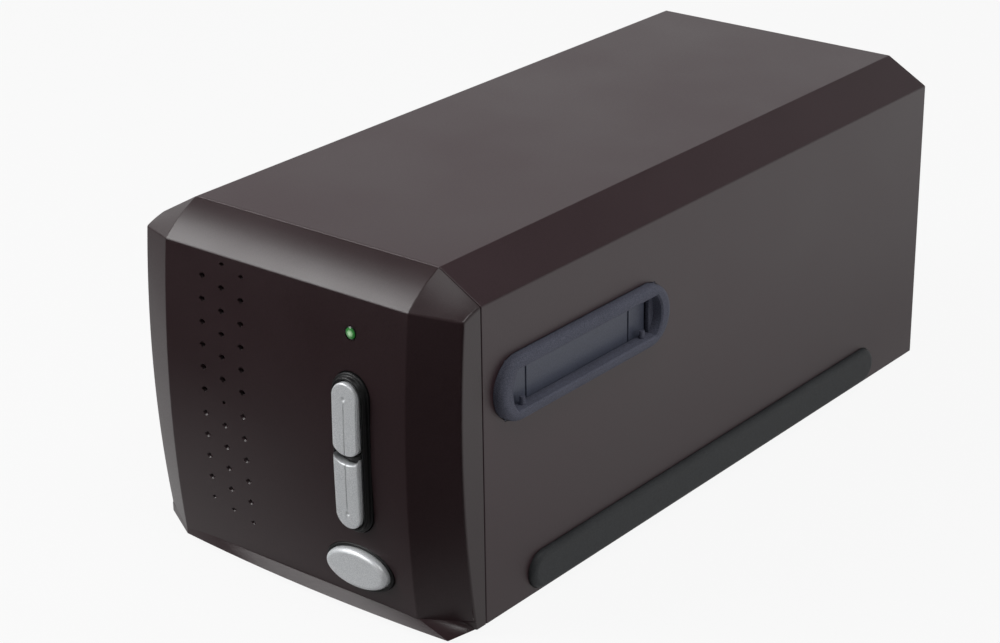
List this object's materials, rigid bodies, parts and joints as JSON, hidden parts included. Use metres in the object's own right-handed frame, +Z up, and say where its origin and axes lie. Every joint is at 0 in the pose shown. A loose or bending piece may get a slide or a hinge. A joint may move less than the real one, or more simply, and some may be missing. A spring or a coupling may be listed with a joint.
{
  "type": "film negative scanner",
  "caption": "Desktop film negative scanner: a long chamfered case with a film slot right through it, dust flaps, front buttons, and a motor-driven scanning carriage inside.",
  "frame": {"origin": "on the standing surface, under the middle of the object's box", "axes": "+X the object's right seen from the front, +Y to the back, +Z up"},
  "size_m": [0.1338, 0.2694, 0.1135],
  "materials": {
    "case_plastic": "fine-grained plum-grey moulded plastic",
    "bezel_plastic": "fine-grained dark moulded plastic",
    "foot_rubber": "plain black rubber",
    "pad_rubber": "soft matt rubber strip",
    "frame_plastic": "smooth satin moulding",
    "flap_plastic": "smooth satin moulding",
    "silver_finish": "silver paint on plastic",
    "black_plastic": "black moulding",
    "green_lens": "tinted clear lens",
    "board_green": "lacquered circuit board",
    "bright_steel": "plated steel",
    "zinc_sheet": "zinc plated sheet",
    "cast_alloy": "die casting",
    "black_anodised": "black anodised",
    "bronze": "sintered bronze",
    "white_nylon": "natural nylon",
    "diffuser_white": "opal sheet",
    "clear_glass": "ground and polished",
    "mirror_glass": "front-silvered",
    "sensor_ceramic": "ceramic package with a dark window"
  },
  "bodies": {
    "case": {"base_pan": "case_plastic", "board_screws": "bright_steel", "board_shelf": "zinc_sheet", "body_cover": "case_plastic", "button_board": "board_green", "button_collar": "black_plastic", "case_screws": "bright_steel", "chassis": "zinc_sheet", "dc_jack": "black_plastic", "detent_springs": "bright_steel", "film_bed": "black_plastic", "film_cover": "zinc_sheet", "flap_pins": "bright_steel", "flap_springs": "bright_steel", "front_bezel": "bezel_plastic", "front_rod_holder": "black_plastic", "guide_rods": "bright_steel", "home_switch": "black_plastic", "lamp_board": "board_green", "lamp_diffuser": "diffuser_white", "lamp_housing": "black_plastic", "led_lens": "green_lens", "main_board": "board_green", "motor_bracket": "zinc_sheet", "port_frame_left": "frame_plastic", "port_frame_right": "frame_plastic", "power_ring": "black_plastic", "rear_panel": "case_plastic", "rear_rod_holder": "black_plastic", "rubber_feet": "foot_rubber", "screw_bearings": "bronze", "side_pad_left": "pad_rubber", "side_pad_right": "pad_rubber", "status_led": "green_lens", "stepper_motor": "zinc_sheet", "switch_housings": "black_plastic", "usb_socket": "bright_steel"},
    "right_flap": {"dust_flap_right": "flap_plastic"},
    "left_flap": {"dust_flap_left": "flap_plastic"},
    "upper_scan_button": {"upper_button": "silver_finish", "upper_switch_plunger": "black_plastic"},
    "lower_scan_button": {"lower_button": "silver_finish", "lower_switch_plunger": "black_plastic"},
    "power_key": {"power_button": "silver_finish", "power_switch_plunger": "black_plastic"},
    "scan_carriage": {"carriage": "cast_alloy", "carriage_bushes": "bronze", "mirror": "mirror_glass", "lens_barrel": "black_anodised", "lens_glasses": "clear_glass", "lens_clamp": "zinc_sheet", "image_sensor": "sensor_ceramic", "sensor_board": "board_green", "drive_nut": "white_nylon", "carriage_screws": "bright_steel"},
    "drive_screw": {"lead_screw": "bright_steel", "screw_gear": "white_nylon"},
    "motor_rotor": {"motor_pinion": "bronze"}
  },
  "joints": [
    {"name": "right_flap_hinge", "type": "hinge", "parent": "case", "child": "right_flap", "pos_m": [0.0603, -0.06785, 0.0813], "axis": [0, 1, 0], "range_deg": [0, 80], "stiffness_Nm_per_rad": 0.001, "springref_deg": -34.38},
    {"name": "left_flap_hinge", "type": "hinge", "parent": "case", "child": "left_flap", "pos_m": [-0.0603, -0.06785, 0.0813], "axis": [0, -1, 0], "range_deg": [0, 80], "stiffness_Nm_per_rad": 0.001, "springref_deg": -34.38},
    {"name": "upper_button_press", "type": "slide", "parent": "case", "child": "upper_scan_button", "axis": [0, 1, 0], "range_m": [0, 0.0008], "stiffness_N_per_m": 300, "springref_m": -0.001},
    {"name": "lower_button_press", "type": "slide", "parent": "case", "child": "lower_scan_button", "axis": [0, 1, 0], "range_m": [0, 0.0008], "stiffness_N_per_m": 300, "springref_m": -0.001},
    {"name": "power_button_press", "type": "slide", "parent": "case", "child": "power_key", "axis": [0, 1, 0], "range_m": [0, 0.0008], "stiffness_N_per_m": 300, "springref_m": -0.001},
    {"name": "drive_screw_spin", "type": "hinge", "parent": "case", "child": "drive_screw", "pos_m": [0, -0.11525, 0.019], "axis": [0, 1, 0], "range_deg": [-30, 2550]},
    {"name": "carriage_slide", "type": "slide", "parent": "case", "child": "scan_carriage", "axis": [0, 1, 0], "range_m": [0, 0.028]},
    {"name": "motor_spin", "type": "hinge", "parent": "case", "child": "motor_rotor", "pos_m": [0, -0.11525, 0.031], "axis": [0, 1, 0], "range_deg": [-7650, 90]}
  ],
  "couplings": [
    {"joint": "drive_screw_spin", "follows": "carriage_slide", "rad_per_m": 1570.8},
    {"joint": "motor_spin", "follows": "carriage_slide", "rad_per_m": -4712.4}
  ]
}
